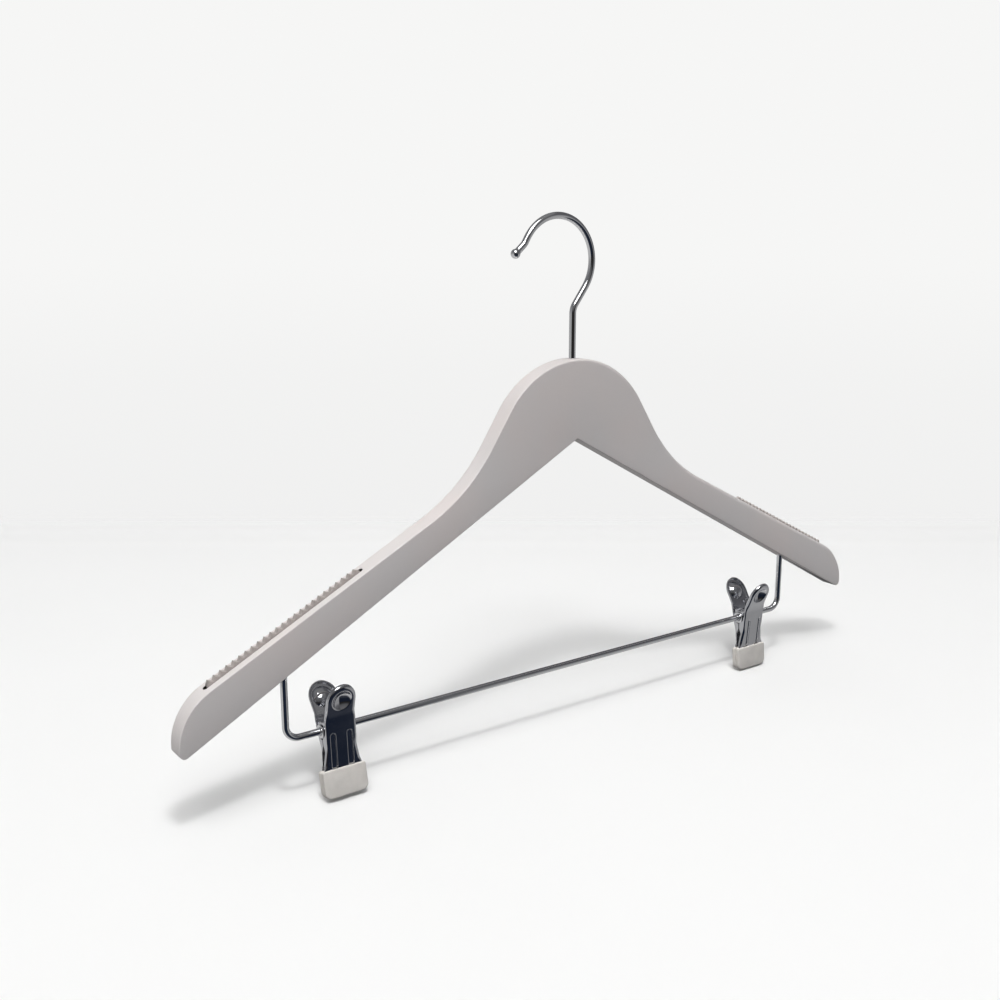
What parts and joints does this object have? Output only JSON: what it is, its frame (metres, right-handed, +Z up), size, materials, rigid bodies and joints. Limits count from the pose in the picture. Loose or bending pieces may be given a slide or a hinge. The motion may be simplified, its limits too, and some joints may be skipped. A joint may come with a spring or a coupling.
{
  "type": "clip hanger",
  "caption": "Painted wooden clothes hanger with a swivel hook, toothed rubber grip strips, a wire trouser bar and sprung steel clips that slide along the bar.",
  "frame": {"origin": "inside of the hook's crown, where it sits on a rail, in the middle of the thickness", "axes": "+Z up, +X along the arms with the hook's open side at -X, +Y from the front face to the back face"},
  "size_m": [0.445, 0.0316, 0.2735],
  "materials": {
    "painted_wood": "satin light grey paint",
    "grip_rubber": "matte",
    "boot_rubber": "matte",
    "wire_chrome": "polished",
    "clip_chrome": "polished",
    "plain_steel": "drawn"
  },
  "bodies": {
    "hook": {"swivel_hook": "wire_chrome", "hook_retainer": "plain_steel"},
    "frame": {"left_arm": "painted_wood", "right_arm": "painted_wood", "left_grip_strip": "grip_rubber", "right_grip_strip": "grip_rubber", "trouser_bar": "wire_chrome"},
    "left_slider": {"left_pivot_sleeve": "wire_chrome"},
    "left_clip": {"left_spring": "plain_steel"},
    "left_front": {"left_front_jaw": "clip_chrome", "left_front_tip": "boot_rubber"},
    "left_back": {"left_back_jaw": "clip_chrome", "left_back_tip": "boot_rubber"},
    "right_slider": {"right_pivot_sleeve": "wire_chrome"},
    "right_clip": {"right_spring": "plain_steel"},
    "right_front": {"right_front_jaw": "clip_chrome", "right_front_tip": "boot_rubber"},
    "right_back": {"right_back_jaw": "clip_chrome", "right_back_tip": "boot_rubber"}
  },
  "joints": [
    {"name": "hook_swivel", "type": "hinge", "parent": "hook", "child": "frame", "pos_m": [0.0103, 0, -0.07024], "axis": [0, 0, 1], "continuous": true},
    {"name": "left_clip_slide", "type": "slide", "parent": "frame", "child": "left_slider", "axis": [1, 0, 0], "range_m": [-0.009, 0.1295]},
    {"name": "left_clip_swing", "type": "hinge", "parent": "left_slider", "child": "left_clip", "pos_m": [-0.1327, 0, -0.23744], "axis": [1, 0, 0], "continuous": true},
    {"name": "left_clip_squeeze", "type": "hinge", "parent": "left_clip", "child": "left_front", "pos_m": [-0.1327, 0, -0.23744], "axis": [-1, 0, 0], "range_deg": [0, 16], "stiffness_Nm_per_rad": 0.1, "springref_deg": -11.46, "deforming": ["left_spring"]},
    {"name": "left_back_follow", "type": "hinge", "parent": "left_clip", "child": "left_back", "pos_m": [-0.1327, 0, -0.23744], "axis": [-1, 0, 0], "range_deg": [-16, 0]},
    {"name": "right_clip_slide", "type": "slide", "parent": "frame", "child": "right_slider", "axis": [1, 0, 0], "range_m": [-0.1295, 0.009]},
    {"name": "right_clip_swing", "type": "hinge", "parent": "right_slider", "child": "right_clip", "pos_m": [0.1533, 0, -0.23744], "axis": [1, 0, 0], "continuous": true},
    {"name": "right_clip_squeeze", "type": "hinge", "parent": "right_clip", "child": "right_front", "pos_m": [0.1533, 0, -0.23744], "axis": [-1, 0, 0], "range_deg": [0, 16], "stiffness_Nm_per_rad": 0.1, "springref_deg": -11.46, "deforming": ["right_spring"]},
    {"name": "right_back_follow", "type": "hinge", "parent": "right_clip", "child": "right_back", "pos_m": [0.1533, 0, -0.23744], "axis": [-1, 0, 0], "range_deg": [-16, 0]}
  ],
  "couplings": [
    {"joint": "left_back_follow", "follows": "left_clip_squeeze", "ratio": -1},
    {"joint": "right_back_follow", "follows": "right_clip_squeeze", "ratio": -1}
  ]
}
